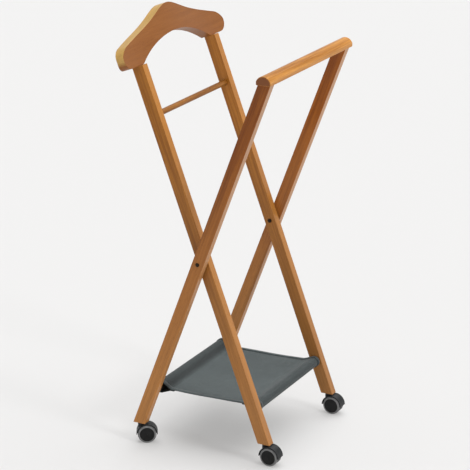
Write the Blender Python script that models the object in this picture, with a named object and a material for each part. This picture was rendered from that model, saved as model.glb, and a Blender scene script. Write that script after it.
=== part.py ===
"""Folding valet stand on casters, as separate solids (metres, +Z up).

Two leg frames cross at a pivot axis that runs along X. The hanger frame leans back:
its legs rise towards +Y and end under a board shaped like a coat hanger. The trouser
frame stands outside it and leans forward: its legs rise towards -Y and end under a bar
with a rounded top. A cloth shelf is stretched between one round rod of each frame, and
every leg stands on a hooded twin-wheel caster.
"""

from math import asin, cos, exp, hypot, pi, radians, sin, sqrt, tan

import bmesh
import bpy
from mathutils import Matrix, Vector

MM = 0.001
GAP = 0.3 * MM  # left between faces that touch on the real object

# Driving dimensions of the two frames
HANGER_LEAN = radians(20.5)  # of each frame from the vertical
TROUSER_LEAN = radians(20.8)
PIVOT = Vector((0, -9.7 * MM, 447.9 * MM))
STAND_WIDTH = 390 * MM  # over the outer legs
LEG_THICK = 20 * MM  # along X
LEG_WIDE = 27.6 * MM  # across the leg, in the plane that it swings in
LEG_ROUND = 1.2 * MM  # along the four long edges
LEG_FOOT_Z = 48.2 * MM
WASHER_ROOM = 2.5 * MM  # between an outer leg and the inner leg beside it
OUTER_LEG_X = STAND_WIDTH / 2 - LEG_THICK / 2
INNER_LEG_X = OUTER_LEG_X - LEG_THICK - WASHER_ROOM
INNER_LEG_TOP = 444 * MM  # from the pivot, along the leg

# Hanger board: x across, height above its lower edge, thickness about the legs' middle
BOARD_HALF = 224.5 * MM
BOARD_FRONT = 12 * MM
BOARD_BACK = 14 * MM
SET_BACK = 7 * MM  # of the shoulders, behind the middle of the board
SET_BACK_X = 170 * MM  # where they are furthest back
TIP_TAPER = 9 * MM  # taken off the back towards each end
TIP_FROM = 170 * MM
BOARD_ROUND = 4 * MM  # of the upper edges; the lower ones have half of it
BOARD_PEAK = 106.6 * MM
SHOULDER_SLOPE = 0.27
SHOULDER_EASE = 30 * MM  # half-width of the turn between the two slopes
NECK_RISE = 13 * MM  # of the bell over the straight shoulders
NECK_REACH = 62 * MM
END_MIDDLE = 23 * MM  # height of the rounded end's outermost point
END_TOP_FROM = 195 * MM
END_LOW_FROM = 200 * MM
END_STEPS = 10
BOARD_STEPS = 24  # stations between the centre and the rounded end
ARCH_HALF_SPAN = 151 * MM
ARCH_RISE = 43.5 * MM

# Trouser bar: flat underneath, straight sides, and an arc on top
BAR_LENGTH = 406 * MM
BAR_DEEP = 34 * MM
BAR_HIGH = 20 * MM
BAR_SIDE = 8 * MM
BAR_ROUND = 1.8 * MM
BAR_BOTTOM_Z = 864.9 * MM
BAR_FORWARD = 1.5 * MM  # of the legs' centre line, at the bar's underside
BAR_ARC_STEPS = 12

# Round rail and rods
RAIL_RADIUS = 6.5 * MM
RAIL_AT = 333 * MM  # from the pivot, along the leg
ROD_RADIUS = 9 * MM
ROD_Z = 125 * MM
HANGER_ROD_AT = (ROD_Z - PIVOT.z) / cos(HANGER_LEAN)
TROUSER_ROD_AT = (ROD_Z - PIVOT.z) / cos(TROUSER_LEAN)
TENON = 10 * MM  # how far a rail's end goes into a leg

# Cloth shelf
SHELF_WIDE = 300 * MM
SHELF_THICK = 2.4 * MM
SLEEVE_RADIUS = 13 * MM
SLEEVE_INNER = ROD_RADIUS + 0.5 * MM
SLEEVE_STEPS = 18

# Pivot fittings and dowels
BOLT_RADIUS = 3 * MM
BOLT_ROOM = 0.35 * MM  # between the bolt and the leg that turns on it
BOLT_HEAD_RADIUS = 4.5 * MM
BOLT_HEAD_HIGH = 1.6 * MM
BOLT_THREAD_PAST = 1.8 * MM
NUT_RADIUS = 4.8 * MM
NUT_HIGH = 2.4 * MM
WASHER_RADIUS = 9 * MM
DOWEL_RADIUS = 4 * MM
DOWEL_IN_LEG = 14 * MM
DOWEL_IN_BOARD = 14 * MM
DOWEL_IN_BAR = 11 * MM

# Caster, about its own upright swivel axis, with the wheels trailing towards its -Y
WHEEL_RADIUS = 21 * MM
WHEEL_CORE_RADIUS = 16.4 * MM
WHEEL_WIDE = 8.4 * MM
WHEEL_DISC_PROUD = 1.4 * MM
TRAIL = 13 * MM
WEB_HALF = 4.4 * MM
WHEEL_INNER_X = WEB_HALF + 0.6 * MM
HOOD_RADIUS = 24 * MM
HOOD_INNER = 22.2 * MM
HOOD_HALF = 12.3 * MM
HUB_RADIUS = 6 * MM
HUB_HALF = WEB_HALF + 0.25 * MM
NECK_RADIUS = 7.2 * MM
NECK_TOP_Z = 46.3 * MM
AXLE_RADIUS = 2 * MM
AXLE_END_X = 12.4 * MM
WHEEL_BORE_RADIUS = 2.3 * MM
STEM_RADIUS = 3.2 * MM
STEM_LOW_Z = 35.5 * MM
SOCKET_RADIUS = 5 * MM
SOCKET_BORE_RADIUS = 3.55 * MM
SOCKET_DEEP = 16 * MM
SOCKET_WALL = 1.5 * MM
FLANGE_RADIUS = 7.6 * MM
FLANGE_HIGH = 1.1 * MM
HANGER_FOOT_Y = PIVOT.y + (LEG_FOOT_Z - PIVOT.z) * tan(HANGER_LEAN)
TROUSER_FOOT_Y = PIVOT.y - (LEG_FOOT_Z - PIVOT.z) * tan(TROUSER_LEAN)
CASTERS = {  # stem position, and yaw of the trailing direction away from -Y
    "front_left": (-INNER_LEG_X, HANGER_FOOT_Y, 0),
    "front_right": (INNER_LEG_X, HANGER_FOOT_Y, 0),
    "back_left": (-OUTER_LEG_X, TROUSER_FOOT_Y, radians(30)),
    "back_right": (OUTER_LEG_X, TROUSER_FOOT_Y, radians(12)),
}

SIDES = {"left": -1, "right": 1}
ALONG_X = Matrix.Rotation(pi / 2, 4, "Y")
UPRIGHT = Matrix.Identity(4)

WOOD = ("honey_stained_beech", (0.30, 0.125, 0.045), 0.42, 0.0)
DARK_WOOD = ("black_stained_rod", (0.012, 0.011, 0.010), 0.5, 0.0)
CLOTH = ("grey_canvas", (0.12, 0.14, 0.14), 0.95, 0.0)
DARK_STEEL = ("blackened_steel", (0.05, 0.045, 0.04), 0.45, 1.0)
STEEL = ("zinc_plated_steel", (0.55, 0.55, 0.56), 0.35, 1.0)
NYLON = ("black_nylon", (0.018, 0.018, 0.019), 0.5, 0.0)
SOCKET_PLASTIC = ("dark_socket_plastic", (0.02, 0.02, 0.02), 0.6, 0.0)
TREAD = ("grey_tread", (0.26, 0.26, 0.26), 0.75, 0.0)


def clear_scene():
    for old in list(bpy.data.objects):
        bpy.data.objects.remove(old, do_unlink=True)


def material(name, finish):
    """A Principled material of the node's own, in the finish's colour."""
    kind, colour, roughness, metallic = finish
    made = bpy.data.materials.new(f"{name}.{kind}")
    made.use_nodes = True
    shader = made.node_tree.nodes["Principled BSDF"]
    shader.inputs["Base Color"].default_value = (*colour, 1)
    shader.inputs["Roughness"].default_value = roughness
    shader.inputs["Metallic"].default_value = metallic
    made.diffuse_color = (*colour, 1)
    return made


def empty_at(name, location, turn_x=0.0, turn_z=0.0):
    made = bpy.data.objects.new(name, None)
    made.location = location
    made.rotation_euler = (turn_x, 0, turn_z)
    bpy.context.collection.objects.link(made)
    return made


def place(name, bm, finish=None, parent=None, location=(0, 0, 0), corner=35):
    """Make an object of a bmesh, smooth except at edges over corner degrees."""
    bmesh.ops.recalc_face_normals(bm, faces=bm.faces[:])
    mesh = bpy.data.meshes.new(name)
    bm.to_mesh(mesh)
    bm.free()
    mesh.shade_smooth()
    mesh.set_sharp_from_angle(angle=radians(corner))
    made = bpy.data.objects.new(name, mesh)
    made.parent = parent
    made.location = location
    if finish:
        mesh.materials.append(material(name, finish))
    bpy.context.collection.objects.link(made)
    return made


def add_cylinder(bm, radius, length, centre, turn=UPRIGHT, steps=24):
    """Add a closed cylinder, upright unless it is turned."""
    bmesh.ops.create_cone(
        bm,
        cap_ends=True,
        segments=steps,
        radius1=radius,
        radius2=radius,
        depth=length,
        matrix=Matrix.Translation(centre) @ turn,
    )


def round_bar(radius, length, turn=UPRIGHT, steps=24):
    bm = bmesh.new()
    add_cylinder(bm, radius, length, (0, 0, 0), turn, steps)
    return bm


def prism(outline, depth, to_point):
    """Extrude a closed outline by depth, centred. to_point turns (a, b, c) into a place."""
    bm = bmesh.new()
    near = [bm.verts.new(to_point(a, b, -depth / 2)) for a, b in outline]
    far = [bm.verts.new(to_point(a, b, depth / 2)) for a, b in outline]
    bm.faces.new(near)
    bm.faces.new(reversed(far))
    for k, vert in enumerate(near):
        after = (k + 1) % len(near)
        bm.faces.new((vert, near[after], far[after], far[k]))
    return bm


def extruded_along_x(outline, length):
    """A prism whose outline is given as (y, z)."""
    return prism(outline, length, lambda y, z, x: (x, y, z))


def turned(profile, steps=28):
    """Spin a closed profile of (x, radius) points about the X axis."""
    bm = bmesh.new()
    rings = []
    for k in range(steps):
        angle = 2 * pi * k / steps
        ring = [bm.verts.new((x, r * cos(angle), r * sin(angle))) for x, r in profile]
        rings.append(ring)
    for k, ring in enumerate(rings):
        after = rings[(k + 1) % steps]
        for j, vert in enumerate(ring):
            nxt = (j + 1) % len(ring)
            bm.faces.new((vert, ring[nxt], after[nxt], after[j]))
    return bm


def bevel(part, width, segments=2, limit=radians(40)):
    """Round every edge sharper than the limit."""
    rim = part.modifiers.new("rounded_edges", "BEVEL")
    rim.width = width
    rim.segments = segments
    rim.limit_method = "ANGLE"
    rim.angle_limit = limit
    return rim


def bevel_chosen(part, width, share, segments=2):
    """Round each edge by its share of width. share is given the edge's two ends."""
    mesh = part.data
    weights = mesh.attributes.new("bevel_weight_edge", "FLOAT", "EDGE")
    for edge in mesh.edges:
        a, b = (mesh.vertices[k].co for k in edge.vertices)
        weights.data[edge.index].value = share(a, b)
    bevel(part, width, segments).limit_method = "WEIGHT"


def boolean(part, operation, other_mesh):
    """Join or take away the shapes in a bmesh, given in the part's own frame."""
    other = place(f"{part.name}.{operation.lower()}", other_mesh, parent=part.parent)
    other.location = part.location
    other.hide_render = True
    other.display_type = "WIRE"
    step = part.modifiers.new(operation.lower(), "BOOLEAN")
    step.operation = operation
    step.solver = "EXACT"
    step.object = other


def cut(part, cutter_mesh):
    boolean(part, "DIFFERENCE", cutter_mesh)


def level_cut(frame_turn, y, world_z):
    """Where a leg's side at local y meets a level plane."""
    return (world_z - PIVOT.z - y * sin(frame_turn)) / cos(frame_turn)


def leg_outline(frame_turn, top):
    """Side view of a leg in its frame: level foot, and the top that is passed in."""
    half = LEG_WIDE / 2
    foot = [(y, level_cut(frame_turn, y, LEG_FOOT_Z)) for y in (-half, half)]
    return [*foot, (half, top(half)), (-half, top(-half))]


def leg(name, frame, frame_turn, x, top, bores):
    """One leg, at x in its frame. bores adds what is drilled out of it."""
    shape = extruded_along_x(leg_outline(frame_turn, top), LEG_THICK)
    part = place(name, shape, WOOD, frame, (x, 0, 0))
    bevel_chosen(part, LEG_ROUND, lambda a, b: float(abs(a.z - b.z) > 0.1))
    cutter = bmesh.new()
    bores(cutter)
    cut(part, cutter)
    return part


def level_bore(cutter, frame_turn, radius, y, z, low, high):
    """A bore that is upright in the world, from low to high about the point (y, z)."""
    upright = Matrix.Rotation(-frame_turn, 4, "X")
    middle = Vector((0, y, z)) + upright @ Vector((0, 0, (low + high) / 2))
    add_cylinder(cutter, radius, high - low, middle, upright)


def foot_bore(cutter, frame_turn):
    """The blind hole in a leg's foot that takes the caster's socket."""
    z = level_cut(frame_turn, 0, LEG_FOOT_Z)
    radius = SOCKET_RADIUS + GAP
    level_bore(cutter, frame_turn, radius, 0, z, -5 * MM, SOCKET_DEEP + GAP)


def tenon_bore(cutter, side, radius, along):
    """A blind hole in a leg's inner face."""
    face = -side * LEG_THICK / 2
    depth = TENON + GAP
    centre = (face + side * (depth - 5 * MM) / 2, 0, along)
    add_cylinder(cutter, radius + GAP, depth + 5 * MM, centre, ALONG_X)


def hanger_leg(frame, name, side):
    """Inner leg. Its top is square to the leg, under the hanger board."""

    def bores(cutter):
        add_cylinder(cutter, BOLT_RADIUS + BOLT_ROOM, 2 * LEG_THICK, (0, 0, 0), ALONG_X)
        tenon_bore(cutter, side, RAIL_RADIUS, RAIL_AT)
        tenon_bore(cutter, side, ROD_RADIUS, HANGER_ROD_AT)
        middle = INNER_LEG_TOP - DOWEL_IN_LEG / 2 + 2 * MM
        add_cylinder(cutter, DOWEL_RADIUS + GAP, DOWEL_IN_LEG + 4 * MM, (0, 0, middle))
        foot_bore(cutter, -HANGER_LEAN)

    def square_top(y):
        return INNER_LEG_TOP - GAP

    leg(f"hanger_leg_{name}", frame, -HANGER_LEAN, side * INNER_LEG_X, square_top, bores)


def trouser_leg(frame, name, side):
    """Outer leg. Its top is level, under the trouser bar."""
    top_z = level_cut(TROUSER_LEAN, 0, BAR_BOTTOM_Z)

    def bores(cutter):
        add_cylinder(cutter, BOLT_RADIUS + GAP, 2 * LEG_THICK, (0, 0, 0), ALONG_X)
        tenon_bore(cutter, side, ROD_RADIUS, TROUSER_ROD_AT)
        radius = DOWEL_RADIUS + GAP
        level_bore(cutter, TROUSER_LEAN, radius, 0, top_z, -DOWEL_IN_LEG - GAP, 5 * MM)
        foot_bore(cutter, TROUSER_LEAN)

    def level_top(y):
        return level_cut(TROUSER_LEAN, y, BAR_BOTTOM_Z - GAP)

    leg(f"trouser_leg_{name}", frame, TROUSER_LEAN, side * OUTER_LEG_X, level_top, bores)


def end_share(x, start):
    """1 up to where the board's end begins to round, then down a quarter ellipse to 0."""
    reach = (abs(x) - start) / (BOARD_HALF - start)
    return sqrt(max(0, 1 - max(0, reach) ** 2))


def board_top(x):
    """Height of the shoulder line: two slopes, a bell between them, rounded ends."""
    slopes = SHOULDER_SLOPE * (hypot(x, SHOULDER_EASE) - SHOULDER_EASE)
    bell = NECK_RISE * (1 - exp(-((x / NECK_REACH) ** 2)))
    height = BOARD_PEAK - slopes - bell
    return END_MIDDLE + (height - END_MIDDLE) * end_share(x, END_TOP_FROM)


def board_underside(x):
    """Height of the lower edge: an arch between the legs, level over them."""
    if abs(x) > ARCH_HALF_SPAN:
        return END_MIDDLE * (1 - end_share(x, END_LOW_FROM))
    radius = (ARCH_HALF_SPAN**2 + ARCH_RISE**2) / (2 * ARCH_RISE)
    return ARCH_RISE - radius + sqrt(radius**2 - x**2)


def board_stations():
    """Where along x the board's section is drawn, from its left end to its right."""
    inner = [ARCH_HALF_SPAN * k / BOARD_STEPS for k in range(1, BOARD_STEPS + 1)]
    middle = (ARCH_HALF_SPAN + END_TOP_FROM) / 2
    room = BOARD_HALF - END_TOP_FROM
    outer = [END_TOP_FROM + room * sin(pi / 2 * k / END_STEPS) for k in range(END_STEPS)]
    right = [*inner, middle, *outer]
    return [*(-x for x in reversed(right)), 0.0, *right]


def board_shape():
    """The board as sections from end to end, closed to an upright line at each end."""
    bm = bmesh.new()

    def faces_y(x):
        shift = SET_BACK / 2 * (1 - cos(pi * x / SET_BACK_X))
        taper = TIP_TAPER * (1 - end_share(x, TIP_FROM))
        return shift - BOARD_FRONT, shift + BOARD_BACK - taper

    def section(x):
        front, back = faces_y(x)
        low, high = board_underside(x), board_top(x)
        corners = [(front, low), (front, high), (back, high), (back, low)]
        return [bm.verts.new((x, y, h)) for y, h in corners]

    def tip(x):
        return [bm.verts.new((x, y, END_MIDDLE)) for y in faces_y(x)]

    sections = [section(x) for x in board_stations()]
    for ring, after in zip(sections, sections[1:]):
        for k in range(4):
            nxt = (k + 1) % 4
            bm.faces.new((ring[k], ring[nxt], after[nxt], after[k]))
    for end, ring in ((-BOARD_HALF, sections[0]), (BOARD_HALF, sections[-1])):
        ahead, behind = tip(end)
        bm.faces.new((ring[0], ring[1], ahead))
        bm.faces.new((ring[1], ring[2], behind, ahead))
        bm.faces.new((ring[2], ring[3], behind))
        bm.faces.new((ring[3], ring[0], ahead, behind))
    return bm


def board_edge_share(a, b):
    """All of the rounding on the rims' upper edges and half of it on the lower ones."""
    if abs(a.x - b.x) < 0.1 * MM or (a.y < 0) != (b.y < 0):
        return 0.0
    middle = (a.z + b.z) / 2
    half_way = (board_top((a.x + b.x) / 2) + board_underside((a.x + b.x) / 2)) / 2
    return 1.0 if middle > half_way else 0.55


def hanger_top(frame):
    """The shoulder-shaped board on the inner legs."""
    board = place("hanger_top", board_shape(), WOOD, frame, (0, 0, INNER_LEG_TOP))
    bevel_chosen(board, BOARD_ROUND, board_edge_share, segments=3)
    cutter = bmesh.new()
    for side in SIDES.values():
        middle = (side * INNER_LEG_X, 0, DOWEL_IN_BOARD / 2 - 2 * MM)
        add_cylinder(cutter, DOWEL_RADIUS + GAP, DOWEL_IN_BOARD + 4 * MM, middle)
    cut(board, cutter)


def hanger_dowel(frame, name, side):
    """The hidden pin between an inner leg and the board."""
    low, high = GAP - DOWEL_IN_LEG, DOWEL_IN_BOARD - 2 * GAP
    location = (side * INNER_LEG_X, 0, INNER_LEG_TOP + (low + high) / 2)
    shape = round_bar(DOWEL_RADIUS, high - low)
    place(f"hanger_dowel_{name}", shape, WOOD, frame, location)


def bar_outline():
    """End view of the trouser bar as (y, z), from its underside."""
    half = BAR_DEEP / 2
    rise = BAR_HIGH - BAR_SIDE
    radius = (half**2 + rise**2) / (2 * rise)
    reach = asin(half / radius)
    outline = [(-half, 0), (half, 0)]
    for k in range(BAR_ARC_STEPS + 1):
        angle = reach * (1 - 2 * k / BAR_ARC_STEPS)
        outline.append((radius * sin(angle), BAR_HIGH - radius * (1 - cos(angle))))
    return outline


def bar_centre_y():
    """Where the legs' centre line reaches the bar, from the pivot."""
    return -(BAR_BOTTOM_Z - PIVOT.z) * tan(TROUSER_LEAN)


def trouser_bar():
    """The bar that trousers hang over."""
    shape = extruded_along_x(bar_outline(), BAR_LENGTH)
    location = (0, PIVOT.y + bar_centre_y() - BAR_FORWARD, BAR_BOTTOM_Z)
    bar = place("trouser_bar", shape, WOOD, None, location, corner=15)
    bevel(bar, BAR_ROUND, segments=3, limit=radians(50))
    cutter = bmesh.new()
    for side in SIDES.values():
        middle = (side * OUTER_LEG_X, BAR_FORWARD, DOWEL_IN_BAR / 2 - 2 * MM)
        add_cylinder(cutter, DOWEL_RADIUS + GAP, DOWEL_IN_BAR + 4 * MM, middle)
    cut(bar, cutter)


def trouser_bar_dowel(name, side):
    """The hidden pin between an outer leg and the bar."""
    low, high = -DOWEL_IN_LEG, DOWEL_IN_BAR - GAP
    y = PIVOT.y + bar_centre_y()
    location = (side * OUTER_LEG_X, y, BAR_BOTTOM_Z + (low + high) / 2)
    shape = round_bar(DOWEL_RADIUS, high - low)
    place(f"trouser_bar_dowel_{name}", shape, WOOD, None, location)


def cross_bar(name, frame, finish, radius, along, leg_x):
    """A round rail between a frame's two legs, with its ends let into them."""
    length = 2 * (leg_x - LEG_THICK / 2 + TENON)
    part = place(name, round_bar(radius, length, ALONG_X), finish, frame, (0, 0, along))
    bevel(part, 1 * MM, segments=1)


def sleeve_arc(y, z, outward):
    """Half of the shelf's outline round one rod. outward is -1 in front, 1 behind."""
    lip = asin(SHELF_THICK / 2 / SLEEVE_RADIUS)
    points = []
    for k in range(SLEEVE_STEPS + 1):
        angle = (pi - lip) * (1 - 2 * k / SLEEVE_STEPS)
        ahead = SLEEVE_RADIUS * cos(angle)
        points.append((y + outward * ahead, z - outward * SLEEVE_RADIUS * sin(angle)))
    return points


def shelf_fabric():
    """The sling, as a flat closed solid with a sleeve round each rod."""
    z = ROD_Z - PIVOT.z
    front, back = z * tan(HANGER_LEAN), -z * tan(TROUSER_LEAN)
    outline = sleeve_arc(back, z, 1) + sleeve_arc(front, z, -1)
    shape = extruded_along_x(outline, SHELF_WIDE)
    sling = place("shelf_fabric", shape, CLOTH, None, PIVOT)
    cutter = bmesh.new()
    for rod_y in (front, back):
        add_cylinder(cutter, SLEEVE_INNER, 2 * SHELF_WIDE, (0, rod_y, z), ALONG_X)
    cut(sling, cutter)


def pivot_fittings(name, side):
    """The bolt that an inner leg turns on, its nut, and the washer between the legs."""
    outer_face = OUTER_LEG_X + LEG_THICK / 2
    inner_face = INNER_LEG_X - LEG_THICK / 2
    head_in = outer_face + GAP
    thread_end = inner_face - NUT_HIGH - BOLT_THREAD_PAST + GAP
    profile = [
        (side * thread_end, 0.4 * BOLT_RADIUS),
        (side * (thread_end + 0.6 * MM), BOLT_RADIUS),
        (side * head_in, BOLT_RADIUS),
        (side * head_in, BOLT_HEAD_RADIUS),
        (side * (head_in + 0.5 * BOLT_HEAD_HIGH), BOLT_HEAD_RADIUS),
        (side * (head_in + BOLT_HEAD_HIGH), 0.6 * BOLT_HEAD_RADIUS),
    ]
    bolt = lathe_solid(profile, 24)
    place(f"pivot_bolt_{name}", bolt, DARK_STEEL, None, PIVOT)

    washer_x = side * (INNER_LEG_X + LEG_THICK / 2 + WASHER_ROOM / 2)
    half = WASHER_ROOM / 2 - GAP
    inner = BOLT_RADIUS + GAP
    ring = [(-half, inner), (half, inner), (half, WASHER_RADIUS), (-half, WASHER_RADIUS)]
    location = PIVOT + Vector((washer_x, 0, 0))
    place(f"pivot_washer_{name}", turned(ring, 24), NYLON, None, location)

    nut_x = side * (inner_face - GAP - NUT_HIGH / 2)
    nut = bmesh.new()
    add_cylinder(nut, NUT_RADIUS, NUT_HIGH, (0, 0, 0), ALONG_X, steps=6)
    made = place(f"pivot_nut_{name}", nut, DARK_STEEL, None, PIVOT + Vector((nut_x, 0, 0)))
    bore = bmesh.new()
    add_cylinder(bore, inner, 3 * NUT_HIGH, (0, 0, 0), ALONG_X)
    cut(made, bore)


def lathe_solid(profile, steps):
    """Spin an open profile of (x, radius) points about X and close both ends."""
    bm = bmesh.new()
    rings = []
    for x, r in profile:
        angles = [2 * pi * k / steps for k in range(steps)]
        rings.append([bm.verts.new((x, r * cos(a), r * sin(a))) for a in angles])
    for ring, after in zip(rings, rings[1:]):
        for k in range(steps):
            nxt = (k + 1) % steps
            bm.faces.new((ring[k], ring[nxt], after[nxt], after[k]))
    bm.faces.new(rings[0])
    bm.faces.new(reversed(rings[-1]))
    return bm


def half_disc(radius, half_wide, steps=28):
    """The upper half of a disc that lies across X, with its flat side at the axle."""
    angles = [pi * k / steps for k in range(steps + 1)]
    outline = [(radius * cos(a), radius * sin(a)) for a in angles]
    return extruded_along_x(outline, 2 * half_wide)


def caster_hood(name, swivel):
    """Hood, web, hub and neck in one moulding, open over each wheel."""
    axle = Vector((0, -TRAIL, WHEEL_RADIUS))
    hood = place(f"caster_hood_{name}", half_disc(HOOD_RADIUS, HOOD_HALF), NYLON, swivel, axle)
    neck = bmesh.new()
    low, high = 0.7 * WHEEL_RADIUS, NECK_TOP_Z - axle.z
    add_cylinder(neck, NECK_RADIUS, high - low, (0, TRAIL, (low + high) / 2))
    boolean(hood, "UNION", neck)
    pockets = bmesh.new()
    room = HOOD_HALF + 4 * MM
    for side in (-1, 1):
        centre = (side * (WEB_HALF + room) / 2, 0, 0)
        add_cylinder(pockets, HOOD_INNER, room - WEB_HALF, centre, ALONG_X, 36)
    cut(hood, pockets)
    hub = bmesh.new()
    add_cylinder(hub, HUB_RADIUS, 2 * HUB_HALF, (0, 0, 0), ALONG_X, 20)
    boolean(hood, "UNION", hub)
    bores = bmesh.new()
    add_cylinder(bores, AXLE_RADIUS + GAP, 4 * HOOD_HALF, (0, 0, 0), ALONG_X, 16)
    stem_low = STEM_LOW_Z - GAP - axle.z
    stem = (0, TRAIL, stem_low + 12 * MM)
    add_cylinder(bores, STEM_RADIUS + GAP, 24 * MM, stem)
    cut(hood, bores)


def caster_wheel(name, side, swivel):
    """One wheel core with its tread, free to turn on the axle."""
    which = "left" if side < 0 else "right"
    axle = Vector((0, -TRAIL, WHEEL_RADIUS))
    inner, outer = WHEEL_INNER_X, WHEEL_INNER_X + WHEEL_WIDE
    cap = outer + WHEEL_DISC_PROUD
    core = [
        (inner, WHEEL_BORE_RADIUS),
        (AXLE_END_X + GAP, WHEEL_BORE_RADIUS),
        (AXLE_END_X + GAP, 0.5 * MM),
        (cap, 0.5 * MM),
        (cap - 0.3 * MM, 0.55 * WHEEL_CORE_RADIUS),
        (outer, WHEEL_CORE_RADIUS),
        (inner, WHEEL_CORE_RADIUS),
    ]
    tread = [
        (inner, WHEEL_CORE_RADIUS + GAP),
        (outer, WHEEL_CORE_RADIUS + GAP),
        (outer, WHEEL_RADIUS - 2.8 * MM),
        (outer - 0.8 * MM, WHEEL_RADIUS - 1 * MM),
        (outer - 2.6 * MM, WHEEL_RADIUS),
        (inner + 1.2 * MM, WHEEL_RADIUS),
        (inner, WHEEL_RADIUS - 1.2 * MM),
    ]
    for piece, profile, finish in (("core", core, NYLON), ("tread", tread, TREAD)):
        shape = turned([(side * x, r) for x, r in profile], 28)
        node = f"caster_{piece}_{name}_{which}"
        place(node, shape, finish, swivel, axle)


def caster(name, stem_x, stem_y, yaw):
    """Socket in the leg, and the swivelling caster under it."""
    swivel = empty_at(f"caster_{name}", (stem_x, stem_y, 0), turn_z=yaw)

    flange_top = LEG_FOOT_Z - GAP
    top = LEG_FOOT_Z + SOCKET_DEEP
    bore_end = top - SOCKET_WALL
    profile = [
        (flange_top - FLANGE_HIGH, SOCKET_BORE_RADIUS),
        (flange_top - FLANGE_HIGH, FLANGE_RADIUS),
        (flange_top, FLANGE_RADIUS),
        (flange_top, SOCKET_RADIUS),
        (top, SOCKET_RADIUS),
        (top, 1 * MM),
        (bore_end, 1 * MM),
        (bore_end, SOCKET_BORE_RADIUS),
    ]
    socket = turned(profile, 24)
    bmesh.ops.transform(socket, matrix=Matrix.Rotation(-pi / 2, 4, "Y"), verts=socket.verts)
    place(f"caster_socket_{name}", socket, SOCKET_PLASTIC, None, (stem_x, stem_y, 0))

    stem_top = bore_end - 0.5 * MM
    stem = round_bar(STEM_RADIUS, stem_top - STEM_LOW_Z)
    middle = (0, 0, (stem_top + STEM_LOW_Z) / 2)
    made = place(f"caster_stem_{name}", stem, STEEL, swivel, middle)
    bevel(made, 0.6 * MM, segments=1)

    caster_hood(name, swivel)
    axle = round_bar(AXLE_RADIUS, 2 * AXLE_END_X, ALONG_X, 16)
    centre = (0, -TRAIL, WHEEL_RADIUS)
    place(f"caster_axle_{name}", axle, STEEL, swivel, centre)
    for side in (-1, 1):
        caster_wheel(name, side, swivel)


def build():
    clear_scene()
    hanger_frame = empty_at("hanger_frame", PIVOT, turn_x=-HANGER_LEAN)
    trouser_frame = empty_at("trouser_frame", PIVOT, turn_x=TROUSER_LEAN)
    hanger_top(hanger_frame)
    trouser_bar()
    for name, side in SIDES.items():
        hanger_leg(hanger_frame, name, side)
        trouser_leg(trouser_frame, name, side)
        hanger_dowel(hanger_frame, name, side)
        trouser_bar_dowel(name, side)
        pivot_fittings(name, side)
    cross_bar("cross_rail", hanger_frame, WOOD, RAIL_RADIUS, RAIL_AT, INNER_LEG_X)
    cross_bar(
        "front_shelf_rod", hanger_frame, DARK_WOOD, ROD_RADIUS, HANGER_ROD_AT, INNER_LEG_X
    )
    cross_bar(
        "back_shelf_rod", trouser_frame, DARK_WOOD, ROD_RADIUS, TROUSER_ROD_AT, OUTER_LEG_X
    )
    shelf_fabric()
    for name, (stem_x, stem_y, yaw) in CASTERS.items():
        caster(name, stem_x, stem_y, yaw)


build()
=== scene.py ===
"""Looks of a folding wooden valet stand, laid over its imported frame.

All in metres and in the frame's own axes: X along the bars, +Y towards the hanger
board, +Z up. Colours are linear.
"""

from math import acos, atan2, cos, hypot, pi, radians, sin

import bmesh
import bpy
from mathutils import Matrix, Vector


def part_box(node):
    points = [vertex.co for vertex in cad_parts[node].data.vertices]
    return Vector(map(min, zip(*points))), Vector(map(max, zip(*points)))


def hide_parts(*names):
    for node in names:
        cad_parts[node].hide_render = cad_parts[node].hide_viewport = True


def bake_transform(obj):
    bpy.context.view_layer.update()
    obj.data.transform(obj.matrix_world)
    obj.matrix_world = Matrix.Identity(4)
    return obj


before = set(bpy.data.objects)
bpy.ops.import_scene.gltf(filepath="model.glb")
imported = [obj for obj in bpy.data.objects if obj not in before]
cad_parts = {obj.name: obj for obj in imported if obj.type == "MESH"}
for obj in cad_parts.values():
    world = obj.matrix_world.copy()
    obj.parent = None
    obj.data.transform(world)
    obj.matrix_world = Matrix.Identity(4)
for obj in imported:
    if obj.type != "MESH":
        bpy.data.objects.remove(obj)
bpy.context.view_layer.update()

MM = 0.001
HANGER_LEAN = radians(20.5)
TROUSER_LEAN = radians(20.8)


# ----------------------------------------------------------------- node helpers


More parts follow.
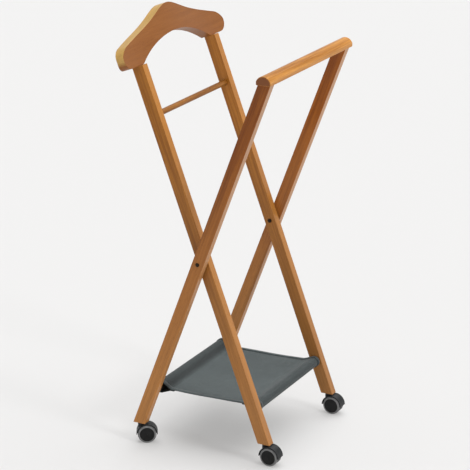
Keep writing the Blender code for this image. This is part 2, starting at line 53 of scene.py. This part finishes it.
class Nodes:
    """Short calls for building one material's node tree."""

    def __init__(self, name):
        self.material = bpy.data.materials.new(name)
        self.material.use_nodes = True
        self.tree = self.material.node_tree
        self.shader = self.tree.nodes["Principled BSDF"]

    def add(self, kind, **settings):
        node = self.tree.nodes.new(kind)
        for key, value in settings.items():
            setattr(node, key, value)
        return node

    def link(self, source, target):
        self.tree.links.new(source, target)

    def feed(self, target, value):
        """Link a socket, or set a plain value."""
        if isinstance(value, bpy.types.NodeSocket):
            self.link(value, target)
        else:
            target.default_value = value

    def normal(self):
        return self.add("ShaderNodeTexCoord").outputs["Normal"]

    def place(self, turn=(0, 0, 0), scale=(1, 1, 1)):
        """Object coordinates, turned and then stretched."""
        turned = self.add("ShaderNodeMapping", vector_type="POINT")
        turned.inputs["Rotation"].default_value = turn
        self.link(self.add("ShaderNodeTexCoord").outputs["Object"], turned.inputs["Vector"])
        stretched = self.add("ShaderNodeMapping", vector_type="POINT")
        stretched.inputs["Scale"].default_value = scale
        self.link(turned.outputs["Vector"], stretched.inputs["Vector"])
        return stretched.outputs["Vector"]

    def shift(self, vector, by):
        node = self.add("ShaderNodeVectorMath", operation="ADD")
        self.link(vector, node.inputs[0])
        node.inputs[1].default_value = by
        return node.outputs["Vector"]

    def axes(self, vector):
        """The vector's outputs X, Y and Z."""
        node = self.add("ShaderNodeSeparateXYZ")
        self.link(vector, node.inputs["Vector"])
        return node.outputs

    def noise(self, vector, scale, detail=3.0, roughness=0.5, distortion=0.0):
        node = self.add("ShaderNodeTexNoise")
        self.link(vector, node.inputs["Vector"])
        node.inputs["Scale"].default_value = scale
        node.inputs["Detail"].default_value = detail
        node.inputs["Roughness"].default_value = roughness
        node.inputs["Distortion"].default_value = distortion
        return node.outputs["Fac"]

    def calculate(self, operation, a, b=0.0):
        node = self.add("ShaderNodeMath", operation=operation)
        self.feed(node.inputs[0], a)
        self.feed(node.inputs[1], b)
        return node.outputs["Value"]

    def plus(self, a, b):
        return self.calculate("ADD", a, b)

    def times(self, a, b):
        return self.calculate("MULTIPLY", a, b)

    def spread(self, value, low, high, to_low=0.0, to_high=1.0):
        """The value moved from the range low to high onto to_low to to_high, and held there."""
        node = self.add("ShaderNodeMapRange")
        self.feed(node.inputs["Value"], value)
        node.inputs["From Min"].default_value = low
        node.inputs["From Max"].default_value = high
        node.inputs["To Min"].default_value = to_low
        node.inputs["To Max"].default_value = to_high
        return node.outputs["Result"]

    def between(self, noise, least, most):
        """A noise, which lies mostly from 0.3 to 0.7, moved onto the range least to most."""
        return self.spread(noise, 0.3, 0.7, least, most)

    def mix(self, factor, a, b, blend="MIX"):
        node = self.add("ShaderNodeMix", data_type="RGBA", blend_type=blend)
        self.feed(node.inputs["Factor"], factor)
        self.feed(node.inputs["A"], a)
        self.feed(node.inputs["B"], b)
        return node.outputs["Result"]

    def wave(self, value, rate):
        """A sine of the value, from 0 to 1, at so many turns per metre."""
        return self.spread(self.calculate("SINE", self.times(value, 2 * pi * rate)), -1, 1)

    def edge_on(self, axis, facing=0.75, away=0.45):
        """1 where the surface is turned away from the axis, 0 where it faces along it."""
        dot = self.add("ShaderNodeVectorMath", operation="DOT_PRODUCT")
        self.link(self.normal(), dot.inputs[0])
        dot.inputs[1].default_value = axis
        return self.spread(self.calculate("ABSOLUTE", dot.outputs["Value"]), facing, away)

    def bump(self, height, distance, strength):
        node = self.add("ShaderNodeBump")
        self.link(height, node.inputs["Height"])
        node.inputs["Distance"].default_value = distance
        node.inputs["Strength"].default_value = strength
        self.link(node.outputs["Normal"], self.shader.inputs["Normal"])

    def finish(self, colour, roughness, constants=None):
        """Feed the shader, and set what is the same all over on its own sockets."""
        self.feed(self.shader.inputs["Base Color"], colour)
        self.feed(self.shader.inputs["Roughness"], roughness)
        for name, value in (constants or {}).items():
            self.shader.inputs[name].default_value = value
        return self.material


def rgba(*colour):
    return (*colour, 1.0)


def shade(colour, share):
    return rgba(*(share * c for c in colour))


def middle_of(name):
    low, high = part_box(name)
    return [(a + b) / 2 for a, b in zip(low, high)]


def object_of(bm, name):
    """A new linked object, made of the bmesh."""
    mesh = bpy.data.meshes.new(name)
    bm.to_mesh(mesh)
    bm.free()
    made = bpy.data.objects.new(name, mesh)
    bpy.context.collection.objects.link(made)
    return made


# ------------------------------------------------------------- camera and stage

LENS = 160.85  # mm, on a 36 mm sensor
CAMERA_PLACE = (-3.9387, -2.0522, 1.9428)
CAMERA_TURN = (radians(71.5), 0, radians(-62.47))
WALL = (0.18, 0.88)  # up to this height of a direction, and how bright
CEILING = (0.42, 0.10)  # from this height on, and how bright
FLOOR_HALF = 20
FLOOR_PAINT = (0.398, 0.398, 0.398)
FLOOR_GLOW = (1, 0.985, 0.97)


def add_camera():
    lens = bpy.data.cameras.new("camera")
    lens.lens = LENS
    lens.sensor_width = 36
    lens.clip_end = 100
    camera = bpy.data.objects.new("camera", lens)
    camera.location = CAMERA_PLACE
    camera.rotation_euler = CAMERA_TURN
    bpy.context.collection.objects.link(camera)
    bpy.context.scene.camera = camera


def add_world():
    """Pale walls under a dim ceiling."""
    world = bpy.data.worlds.new("studio")
    world.use_nodes = True
    tree = world.node_tree
    directions = tree.nodes.new("ShaderNodeTexCoord")
    apart = tree.nodes.new("ShaderNodeSeparateXYZ")
    tree.links.new(directions.outputs["Generated"], apart.inputs["Vector"])
    fade = tree.nodes.new("ShaderNodeMapRange")
    tree.links.new(apart.outputs["Z"], fade.inputs["Value"])
    fade.inputs["From Min"].default_value, fade.inputs["To Min"].default_value = WALL
    fade.inputs["From Max"].default_value, fade.inputs["To Max"].default_value = CEILING
    background = tree.nodes["Background"]
    tree.links.new(fade.outputs["Result"], background.inputs["Strength"])
    background.inputs["Color"].default_value = rgba(1, 1, 1)
    bpy.context.scene.world = world
    bpy.context.scene.view_settings.view_transform = "Standard"


def add_sun(name, direction, strength, angle):
    """A sun whose light travels along the direction, angle degrees wide."""
    light = bpy.data.lights.new(name, "SUN")
    light.energy = strength
    light.angle = radians(angle)
    sun = bpy.data.objects.new(name, light)
    sun.rotation_euler = Vector(direction).to_track_quat("-Z", "Y").to_euler()
    bpy.context.collection.objects.link(sun)


def add_floor():
    bm = bmesh.new()
    bmesh.ops.create_grid(bm, x_segments=2, y_segments=2, size=FLOOR_HALF)
    floor = object_of(bm, "floor")
    paint = Nodes("floor").finish(
        rgba(*FLOOR_PAINT),
        0.9,
        {
            "Emission Color": rgba(*FLOOR_GLOW),
            "Emission Strength": 0.30,
            "Specular IOR Level": 0.2,
        },
    )
    floor.data.materials.append(paint)


def add_stage():
    add_world()
    add_sun("overhead_softbox", (-0.31, 0.03, -1), 3.68, 82)
    add_sun("right_fill", (0.15, 0.8, -0.45), 1.0, 14)
    add_sun("front_fill", (0.9, 0.15, -0.45), 0.25, 60)
    add_floor()


# ------------------------------------------------------------------------- wood

ALONG_X = (0, pi / 2, 0)  # turns the grain from Z to X
BOARD_AXIS = (0, cos(HANGER_LEAN), -sin(HANGER_LEAN))  # through the hanger board's faces
LEGS = {
    "hanger": {
        "lean": HANGER_LEAN,
        "light": (0.40, 0.150, 0.018),
        "dark": (0.23, 0.074, 0.006),
        "edges": (0.50, 0.215, 0.045),
        "seed": 1.3,
        "depth": {"left": 0.97, "right": 1.14},
        "foot_depth": {"left": 0.81, "right": 0.70},
    },
    "trouser": {
        "lean": -TROUSER_LEAN,
        "light": (0.33, 0.098, 0.010),
        "dark": (0.20, 0.048, 0.003),
        "edges": (0.56, 0.33, 0.18),
        "seed": 4.1,
        "depth": {"left": 0.9, "right": 1.08},
        "foot_depth": {"left": 0.93, "right": 0.98},
    },
}
LEG_FOOT = (0.50, 0.215, 0.058)
LEG_FADE = (0.72, 0.12)  # the colour starts to grow paler at the first height, and is palest at the second
BAR_LIGHT = (0.58, 0.258, 0.052)
BAR_DARK = (0.34, 0.126, 0.015)
BAR_END = (0.20, 0.065, 0.018)
RAIL_LIGHT = (0.30, 0.118, 0.020)
RAIL_DARK = (0.17, 0.058, 0.007)
ROD_LIGHT = (0.016, 0.014, 0.012)
ROD_DARK = (0.008, 0.007, 0.006)
BOARD_LIGHT = (0.285, 0.105, 0.024)
BOARD_DARK = (0.225, 0.074, 0.013)
# the band around the board's edge: edge grain with painted light from above
BOARD_LIT_EDGE = (0.58, 0.35, 0.105)
WOOD_ROUGHNESS = 0.42
# cells per metre across the grain, and the share of that along it
FIGURE_SCALE, FIGURE_STRETCH = 55.0, 0.06
GRAIN_SCALE, GRAIN_STRETCH = 330.0, 0.02
PORE_SCALE, PORE_STRETCH = 1300.0, 0.07
FIGURE_SHARE = 0.55  # of the tone, the rest being the fine grain


def wood(name, turn, light, dark, seed, tint=None, depth=1.0, contrast=0.1, coat=0.3):
    """Stained and lacquered wood, with its grain along Z once turned.

    tint(nodes, tone, colour) gives the colour where it differs on part of the piece,
    partly its grain and partly painted light. depth lightens or darkens the whole colour,
    a low contrast sharpens the grain, and coat is the share of lacquer.
    """
    nodes = Nodes(name)
    broad = nodes.place(turn, (1, 1, FIGURE_STRETCH))
    broad = nodes.shift(broad, (seed, 0.37 * seed, 1.7 * seed))
    figure = nodes.noise(broad, FIGURE_SCALE, roughness=0.55, distortion=0.6)
    narrow = nodes.place(turn, (1, 1, GRAIN_STRETCH))
    narrow = nodes.shift(narrow, (0.61 * seed, seed, seed))
    grain = nodes.noise(narrow, GRAIN_SCALE, detail=4.0, roughness=0.6, distortion=0.2)
    flecks = nodes.noise(nodes.place(turn, (1, 1, PORE_STRETCH)), PORE_SCALE, detail=2.0)
    pores = nodes.spread(flecks, 0.58, 0.72)

    pattern = nodes.plus(
        nodes.times(figure, FIGURE_SHARE), nodes.times(grain, 1 - FIGURE_SHARE)
    )
    tone = nodes.spread(pattern, 0.5 - contrast, 0.5 + contrast)
    colour = nodes.mix(tone, shade(dark, depth), shade(light, depth))
    if tint:
        colour = tint(nodes, tone, colour)
    colour = nodes.mix(nodes.times(pores, 0.35), colour, shade(dark, 0.45))

    nodes.bump(nodes.plus(grain, nodes.times(pores, -0.6)), 0.06 * MM, 0.5)
    return nodes.finish(
        colour,
        nodes.between(grain, WOOD_ROUGHNESS - 0.05, WOOD_ROUGHNESS + 0.08),
        {"Specular IOR Level": 0.1, "Coat Weight": coat, "Coat Roughness": 0.2},
    )


def leg_tint(edges, foot):
    """Paler front and back edges, partly edge grain and partly painted sheen, and a colour that
    grows paler towards the floor.
    """

    def tint(nodes, tone, colour):
        # the front and back faces: paler edge grain, with painted sheen
        colour = nodes.mix(nodes.times(nodes.edge_on((1, 0, 0)), 0.6), colour, rgba(*edges))
        paler = nodes.mix(tone, shade(foot, 0.8), shade(foot, 1.04))
        height = nodes.axes(nodes.place())["Z"]
        return nodes.mix(nodes.spread(height, *LEG_FADE), colour, paler)

    return tint


def bar_tint(nodes, _tone, colour):
    """Dark end grain."""
    return nodes.mix(nodes.edge_on((1, 0, 0), 0.98, 0.85), rgba(*BAR_END), colour)


def board_edge_and_painted_light(nodes, tone, colour):
    """A paler band around the board's edge, partly edge grain and partly painted light, left off the
    parts that face down as painted shade.
    """
    paler = nodes.mix(tone, shade(BOARD_LIT_EDGE, 0.8), rgba(*BOARD_LIT_EDGE))
    # painted shade: the band is left off the parts that face down
    not_in_painted_shade = nodes.spread(nodes.axes(nodes.normal())["Z"], -0.55, -0.1)
    return nodes.mix(nodes.times(nodes.edge_on(BOARD_AXIS), not_in_painted_shade), colour, paler)


def finish_node(name, material):
    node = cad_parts[name]
    node.data.materials.clear()
    node.data.materials.append(material)


def finish_legs():
    for frame_name, leg in LEGS.items():
        for k, side in enumerate(("left", "right")):
            name = f"{frame_name}_leg_{side}"
            foot = tuple(leg["foot_depth"][side] * c for c in LEG_FOOT)
            material = wood(
                name,
                (leg["lean"], 0, 0),
                leg["light"],
                leg["dark"],
                leg["seed"] + k,
                tint=leg_tint(leg["edges"], foot),
                depth=leg["depth"][side],
            )
            finish_node(name, material)


def finish_wood():
    finish_legs()
    for k, side in enumerate(("left", "right")):
        dowel = wood(f"dowel_{side}", (0, 0, 0), BAR_LIGHT, BAR_DARK, 9 + k)
        finish_node(f"hanger_dowel_{side}", dowel)
        finish_node(f"trouser_bar_dowel_{side}", dowel)
    board = wood(
        "hanger_top", ALONG_X, BOARD_LIGHT, BOARD_DARK, 7.7, tint=board_edge_and_painted_light, contrast=0.16, coat=0.2
    )
    finish_node("hanger_top", board)
    bar = wood("trouser_bar", ALONG_X, BAR_LIGHT, BAR_DARK, 3.3, tint=bar_tint)
    finish_node("trouser_bar", bar)
    finish_node("cross_rail", wood("cross_rail", ALONG_X, RAIL_LIGHT, RAIL_DARK, 5.9, coat=0.2))
    rod = wood("rod", ALONG_X, ROD_LIGHT, ROD_DARK, 2.2)
    finish_node("front_shelf_rod", rod)
    finish_node("back_shelf_rod", rod)


# ------------------------------------------------------------ plastic and metal


def plastic(name, colour, roughness, grain=2600.0):
    """Moulded plastic with a fine spark-eroded surface and a little dust."""
    nodes = Nodes(name)
    coords = nodes.place()
    fine = nodes.noise(coords, grain, detail=2.0, roughness=0.6)
    dust = nodes.noise(coords, 90.0, roughness=0.6)
    dusty = rgba(*(min(1.0, 1.5 * c + 0.004) for c in colour))
    nodes.bump(fine, 0.05 * MM, 0.35)
    return nodes.finish(
        nodes.mix(nodes.spread(dust, 0.4, 0.75), rgba(*colour), dusty),
        nodes.between(fine, roughness - 0.06, roughness + 0.08),
        {"Specular IOR Level": 0.22},
    )


def metal(name, colour, roughness):
    """Plated steel with faint turning marks."""
    nodes = Nodes(name)
    marks = nodes.noise(nodes.place(scale=(8, 1, 1)), 900.0, detail=2.0)
    worn = rgba(*(min(1.0, 1.25 * c) for c in colour))
    nodes.bump(marks, 0.03 * MM, 0.3)
    return nodes.finish(
        nodes.mix(marks, rgba(*colour), worn),
        nodes.between(marks, roughness - 0.08, roughness + 0.1),
        {"Metallic": 1.0},
    )


def finish_fittings():
    nylon = plastic("nylon", (0.012, 0.013, 0.014), 0.45)
    dark_steel = metal("dark_steel", (0.035, 0.024, 0.016), 0.5)
    steel = metal("steel", (0.5, 0.5, 0.51), 0.35)
    materials = {
        "pivot_bolt": dark_steel,
        "pivot_nut": dark_steel,
        "pivot_washer": nylon,
        "caster_socket": nylon,
        "caster_stem": steel,
        "caster_hood": nylon,
        "caster_axle": steel,
        "caster_core": plastic("wheel_core", (0.004, 0.004, 0.004), 0.5),
        "caster_tread": plastic("wheel_tread", (0.15, 0.15, 0.15), 0.7, 1500.0),
    }
    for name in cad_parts:
        for start, material in materials.items():
            if name.startswith(start):
                finish_node(name, material)


# ------------------------------------------------------ the cloth shelf's shape

CLOTH_THICK = 1.0 * MM
CLOTH_HALF = 150 * MM  # of the finished width
HEM = 10 * MM  # turned under along each side
HEM_FLAT = 5 * MM  # from the side, where the hem lies flat
HEM_TURN = 0.8 * MM  # from the side, where the hem turns
LAYER = 1.3 * MM  # from one layer's middle to the next
OUTWARD = {"front": -1, "back": 1}  # along Y, from the panel to the rod
SLEEVE = {"front": 10.8 * MM, "back": 12.4 * MM}  # radius
SLEEVE_SHIFT = {"front": 0.9 * MM, "back": 1.8 * MM}  # towards the panel, which pulls on them
SEAM_AWAY = 27 * MM  # from the rod to the seam
SEAM_DROP = {"front": -1 * MM, "back": 2 * MM}  # below the rod's middle
SEAM_TURN = {"front": 5 * MM, "back": 6 * MM}  # room for the bend at the seam
FLAP = 9 * MM  # past the seam, under the panel
SAG = 1.8 * MM
RIPPLE = 0.35 * MM
# middles of the rods, and where the panel is sewn to the sleeves, as (y, z)
ROD = {end: middle_of(f"{end}_shelf_rod")[1:] for end in OUTWARD}
SEAM = {end: (ROD[end][0] - OUTWARD[end] * SEAM_AWAY, ROD[end][1] - SEAM_DROP[end]) for end in ROD}


def arc(centre, radius, begin, end, steps):
    angles = [begin + (end - begin) * k / steps for k in range(steps + 1)]
    return [(centre[0] + radius * cos(t), centre[1] + radius * sin(t)) for t in angles]


def line(a, b, steps):
    """Points from a towards b, without b."""
    shares = [k / steps for k in range(steps)]
    return [(a[0] + (b[0] - a[0]) * t, a[1] + (b[1] - a[1]) * t) for t in shares]


def rounded_corner(before, corner, after, room):
    """A smooth turn in place of a corner, begun and ended at room from it."""

    def towards(end):
        away = hypot(end[0] - corner[0], end[1] - corner[1])
        return [corner[j] + (end[j] - corner[j]) * room / away for j in (0, 1)]

    a, b = towards(before), towards(after)
    turn = []
    for t in (0, 0.2, 0.4, 0.6, 0.8, 1):
        weights = ((1 - t) ** 2, 2 * t * (1 - t), t * t)
        turn.append(tuple(sum(w * p[j] for w, p in zip(weights, (a, corner, b))) for j in (0, 1)))
    return turn


def sleeve(end):
    """From the seam over the rod and back under it, as (y, z)."""
    radius, outward = SLEEVE[end], OUTWARD[end]
    centre = (ROD[end][0] - outward * SLEEVE_SHIFT[end], ROD[end][1])
    dy, dz = SEAM[end][0] - centre[0], SEAM[end][1] - centre[1]
    open_by = acos(radius / hypot(dy, dz))
    towards = atan2(dz, dy)
    if outward > 0:
        towards %= 2 * pi
    over = towards - outward * open_by
    under = towards + outward * (open_by - 2 * pi)
    return arc(centre, radius, over, under, 26)


def cloth_path():
    """The cloth's middle line as (y, z): flap, back sleeve, panel, front sleeve, flap."""
    back, front = SEAM["back"], SEAM["front"]
    over_back, over_front = sleeve("back"), sleeve("front")
    back_turn = rounded_corner(over_back[0], back, front, SEAM_TURN["back"])
    front_turn = rounded_corner(back, front, over_front[0], SEAM_TURN["front"])
    under_back, under_front = (back[0], back[1] - LAYER), (front[0], front[1] - LAYER)
    path = line((under_back[0] - FLAP, under_back[1]), under_back, 3)
    path += line(under_back, over_back[-1], 4)
    path += reversed(over_back)
    path += line(over_back[0], back_turn[0], 5)[1:]
    path += back_turn
    path += line(back_turn[-1], front_turn[0], 30)[1:]
    path += front_turn
    path += line(front_turn[-1], over_front[0], 5)[1:]
    path += over_front
    path += line(over_front[-1], under_front, 4)[1:]
    path += [under_front, (under_front[0] + FLAP, under_front[1])]
    return path


def panel_sag(x, y):
    """How far the panel hangs below the straight line between its seams."""
    front_y, back_y = SEAM["front"][0], SEAM["back"][0]
    along = (y - front_y) / (back_y - front_y)
    if not 0 < along < 1:
        return 0.0
    across = x / CLOTH_HALF
    ripple = RIPPLE * sin(9 * along + 5 * across) * sin(pi * along) * across**2
    return 4 * along * (1 - along) * SAG * (1 - 0.25 * across**2) + ripple


def across_stations():
    """(x, layers down) over the width, with the side hems turned under."""
    flat, turn = CLOTH_HALF - HEM_FLAT, CLOTH_HALF - HEM_TURN
    hem = [(CLOTH_HALF - HEM, 1.0), (flat, 1.0), (turn, 1.0), (CLOTH_HALF, 0.5)]
    hem += [(turn, 0.0), (flat, 0.0), (CLOTH_HALF - HEM, 0.0), (CLOTH_HALF - 1.25 * HEM, 0.0)]
    inner = [(0.88 * CLOTH_HALF * (1 - k / 11), 0.0) for k in range(23)]
    return hem + inner + [(-x, down) for x, down in reversed(hem)]


def path_normals(path):
    """Unit vectors to the inner side: under the panel and towards the rods."""
    normals = []
    for k in range(len(path)):
        before, after = path[max(k - 1, 0)], path[min(k + 1, len(path) - 1)]
        dy, dz = after[0] - before[0], after[1] - before[1]
        size = hypot(dy, dz)
        normals.append((-dz / size, dy / size))
    return normals


def running_length(points):
    """How far along its line each point lies."""
    lengths = [0.0]
    for a, b in zip(points, points[1:]):
        lengths.append(lengths[-1] + hypot(b[0] - a[0], b[1] - a[1]))
    return lengths


def sheet_of_cloth(name):
    """The middle layer of the cloth, and its flat size. Its UV map is the flat cloth."""
    path, stations = cloth_path(), across_stations()
    along = running_length(path)
    across = running_length([(x, LAYER * down) for x, down in stations])
    bm = bmesh.new()
    uv = bm.loops.layers.uv.new("cloth")
    rows = []
    for (y, z), (ny, nz) in zip(path, path_normals(path)):
        row = []
        for x, down in stations:
            shift = -LAYER * down
            row.append(bm.verts.new((x, y + ny * shift, z + nz * shift - panel_sag(x, y))))
        rows.append(row)
    for k in range(len(rows) - 1):
        for j in range(len(stations) - 1):
            corners = ((k, j), (k, j + 1), (k + 1, j + 1), (k + 1, j))
            face = bm.faces.new([rows[a][b] for a, b in corners])
            face.smooth = True
            for loop, (a, b) in zip(face.loops, corners):
                loop[uv].uv = (across[b], along[a])
    bmesh.ops.recalc_face_normals(bm, faces=bm.faces[:])
    return object_of(bm, name), (across[-1], along[-1])


def thicken(piece, thickness):
    """Give a sheet its thickness, half to each side."""
    solidify = piece.modifiers.new("thickness", "SOLIDIFY")
    solidify.thickness = thickness
    solidify.offset = 0
    bpy.context.view_layer.update()
    evaluated = piece.evaluated_get(bpy.context.evaluated_depsgraph_get())
    solid = bpy.data.meshes.new_from_object(evaluated)
    piece.modifiers.clear()
    piece.data = solid


# ----------------------------------------------------------------- its stitches

STITCH_PITCH = 4 * MM
STITCH_HALF = 1.3 * MM  # of its length
STITCH_WIDE = 0.28 * MM  # from its middle to its side
STITCH_LIFT = 0.3 * MM  # of its crown above the cloth
STITCH_SUNK = 0.05 * MM  # of its ends below the cloth
STITCH_IN = {"seam": 3.2 * MM, "hem": 8 * MM}  # from the seam or from the cloth's side
STITCH_START = {"seam": 3 * MM, "hem": 6 * MM}  # from the end of the row


def top_of_panel(x, y):
    front, back = SEAM["front"], SEAM["back"]
    share = (y - front[0]) / (back[0] - front[0])
    return front[1] + (back[1] - front[1]) * share - panel_sag(x, y) + CLOTH_THICK / 2


def stitch(bm, x, y, along_x):
    """A small lozenge on the panel, with a ridge along its top."""
    z = top_of_panel(x, y)

    def corner(along, aside, up):
        dx, dy = (along, aside) if along_x else (aside, along)
        return bm.verts.new((x + dx, y + dy, z + up))

    ends = [corner(k * STITCH_HALF, 0, -STITCH_SUNK) for k in (-1, 1)]
    crown = [corner(0.4 * k * STITCH_HALF, 0, STITCH_LIFT) for k in (-1, 1)]
    for k in (1, -1):
        side = corner(0, k * STITCH_WIDE, 0)
        bm.faces.new((ends[0], side, crown[0]))
        bm.faces.new((crown[0], side, crown[1]))
        bm.faces.new((crown[1], side, ends[1]))
        bm.faces.new((ends[1], side, ends[0]))


def stitch_row(begin, end, kind):
    """The middles of a row's stitches between two ends."""
    begin, end = begin + STITCH_START[kind], end - STITCH_START[kind]
    return [begin + STITCH_PITCH * (k + 0.5) for k in range(int((end - begin) / STITCH_PITCH))]


def stitching(name):
    """Thread along both seams and both hems."""
    bm = bmesh.new()
    for end in ("back", "front"):
        for x in stitch_row(-CLOTH_HALF, CLOTH_HALF, "seam"):
            stitch(bm, x, SEAM[end][0] - OUTWARD[end] * STITCH_IN["seam"], True)
    for x in (-CLOTH_HALF + STITCH_IN["hem"], CLOTH_HALF - STITCH_IN["hem"]):
        for y in stitch_row(SEAM["front"][0], SEAM["back"][0], "hem"):
            stitch(bm, x, y, False)
    bmesh.ops.recalc_face_normals(bm, faces=bm.faces[:])
    return object_of(bm, name)


# -------------------------------------------------- the cloth shelf's materials

CANVAS_LIGHT = (0.104, 0.128, 0.131)
CANVAS_DARK = (0.025, 0.033, 0.034)
# painted shade multiplied into each sleeve, back and front
SLEEVE_PAINTED_SHADE = {"back": (0.31, 0.30, 0.30), "front": (0.44, 0.44, 0.44)}
THREAD_LIGHT = (0.24, 0.26, 0.26)
THREAD_DARK = (0.10, 0.11, 0.11)
YARN = 1.1 * MM  # from one pair of yarns to the next
YARN_WANDER = 0.25 * MM
SLUB_SCALE, SLUB_STRETCH = 650.0, 0.05  # cells per metre across the yarn, and the share along it
# from the seam along Y: where the painted shade on each sleeve starts, and where it is darkest
SLEEVE_SHADE_SPAN = {"back": (-5 * MM, 7 * MM), "front": (-16 * MM, -26 * MM)}
LIT_CREST = 3 * MM  # of the sleeve's height, lit from above and so given less painted shade
SHADE_BELOW_CREST, SHADE_ON_CREST = 0.9, 0.62  # share of the sleeve's painted shade, below the crest and on it


def canvas(name):
    """Grey plain weave, with painted shade on the sleeves over the rods, less of it on their lit
    crests.
    """
    nodes = Nodes(name)
    coords = nodes.place()
    apart = nodes.axes(coords)
    x, y, z = apart["X"], apart["Y"], apart["Z"]
    uneven = nodes.noise(nodes.place(scale=(0.25, 1, 1)), 900.0, detail=2.0)
    wander = nodes.times(uneven, YARN_WANDER)
    warp = nodes.wave(nodes.plus(x, wander), 1 / YARN)
    weft = nodes.wave(nodes.plus(y, wander), 1 / YARN)
    weave = nodes.times(warp, weft)
    slub = nodes.noise(nodes.place(scale=(SLUB_STRETCH, 1, 1)), SLUB_SCALE, roughness=0.6)
    streak = nodes.noise(nodes.place(scale=(1, SLUB_STRETCH, 1)), SLUB_SCALE, roughness=0.6)
    cloud = nodes.noise(coords, 14.0, roughness=0.55)
    pattern = nodes.plus(nodes.plus(slub, streak), nodes.times(weave, 0.7))
    tone = nodes.spread(nodes.plus(pattern, nodes.times(cloud, 0.5)), 0.85, 2.0)
    colour = nodes.mix(tone, rgba(*CANVAS_DARK), rgba(*CANVAS_LIGHT))

    # painted shade on the sleeves, less of it on their lit crests
    top = SEAM["back"][1] + SLEEVE["back"]
    depth = nodes.spread(z, top - LIT_CREST, top, SHADE_BELOW_CREST, SHADE_ON_CREST)
    for end, (starts, darkest) in SLEEVE_SHADE_SPAN.items():
        in_painted_shade = nodes.spread(y, SEAM[end][0] + starts, SEAM[end][0] + darkest)
        share = nodes.times(in_painted_shade, depth)
        colour = nodes.mix(share, colour, rgba(*SLEEVE_PAINTED_SHADE[end]), "MULTIPLY")

    nodes.bump(nodes.plus(weave, nodes.times(slub, 0.5)), 0.18 * MM, 0.7)
    return nodes.finish(
        colour,
        nodes.between(slub, 0.82, 0.95),
        {"Specular IOR Level": 0.25, "Sheen Weight": 0.12, "Sheen Roughness": 0.5},
    )


def thread(name):
    nodes = Nodes(name)
    twist = nodes.noise(nodes.place(), 1800.0, detail=2.0)
    nodes.bump(twist, 0.1 * MM, 0.5)
    return nodes.finish(nodes.mix(twist, rgba(*THREAD_DARK), rgba(*THREAD_LIGHT)), 0.8)


def cloth_shelf():
    """One canvas with a sleeve for each rod and a hem along each side, and its thread."""
    cloth, flat = sheet_of_cloth("shelf_canvas")
    thicken(cloth, CLOTH_THICK)
    cloth.data.materials.append(canvas("canvas"))
    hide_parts("shelf_fabric")
    threads = stitching("shelf_stitching")
    threads.data.materials.append(thread("thread"))
    for piece in (cloth, threads):
        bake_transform(piece)


add_camera()
add_stage()
finish_wood()
finish_fittings()
cloth_shelf()
